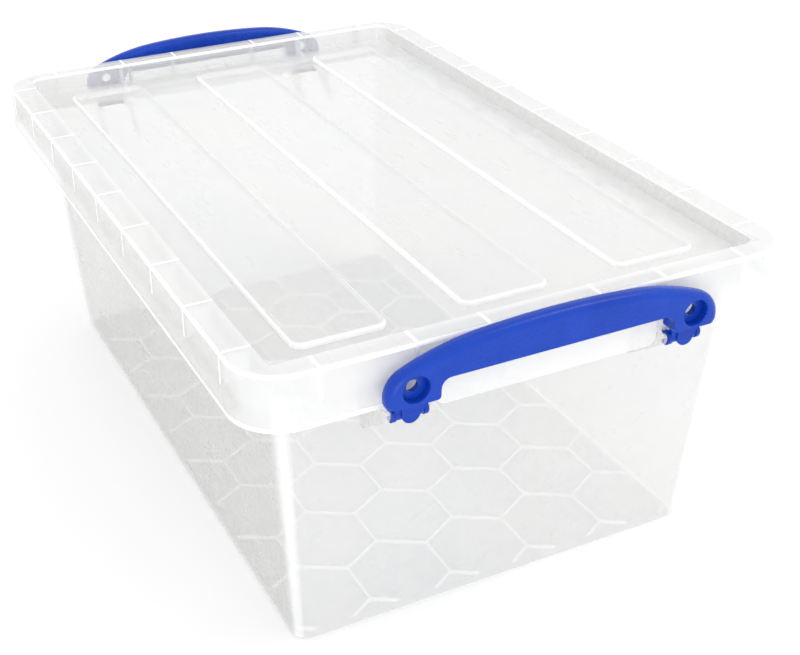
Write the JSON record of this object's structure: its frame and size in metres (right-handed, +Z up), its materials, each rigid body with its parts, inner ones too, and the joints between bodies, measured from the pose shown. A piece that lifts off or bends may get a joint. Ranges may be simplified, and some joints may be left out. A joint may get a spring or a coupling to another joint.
{
  "type": "under bed box",
  "caption": "Long low clear plastic storage box with a lift-off ribbed lid and swing handles clipped to each end.",
  "frame": {"origin": "on the floor, at the centre of the tub's base", "axes": "+Z up, +Y along the length towards the rear handle, +X across the width; the front handle is at -Y"},
  "size_m": [0.4, 0.636, 0.2483],
  "materials": {
    "clear_plastic": "clear natural polypropylene, slightly cloudy, glossy",
    "blue_plastic": "royal blue moulded plastic with a fine satin grain"
  },
  "bodies": {
    "tub": {"tub": "clear_plastic", "tub_floor": "clear_plastic"},
    "lid": {"lid": "clear_plastic", "lid_pad_front": "clear_plastic", "lid_pad_rear": "clear_plastic"},
    "handle_front": {"handle_front": "blue_plastic"},
    "handle_rear": {"handle_rear": "blue_plastic"}
  },
  "joints": [
    {"name": "lid_lift", "type": "slide", "parent": "tub", "child": "lid", "axis": [0, 0, 1], "range_m": [0, 0.12]},
    {"name": "handle_front_swing", "type": "hinge", "parent": "tub", "child": "handle_front", "pos_m": [0, -0.305, 0.1995], "axis": [1, 0, 0], "range_deg": [0, 130]},
    {"name": "handle_rear_swing", "type": "hinge", "parent": "tub", "child": "handle_rear", "pos_m": [0, 0.305, 0.1995], "axis": [-1, 0, 0], "range_deg": [0, 130]}
  ]
}
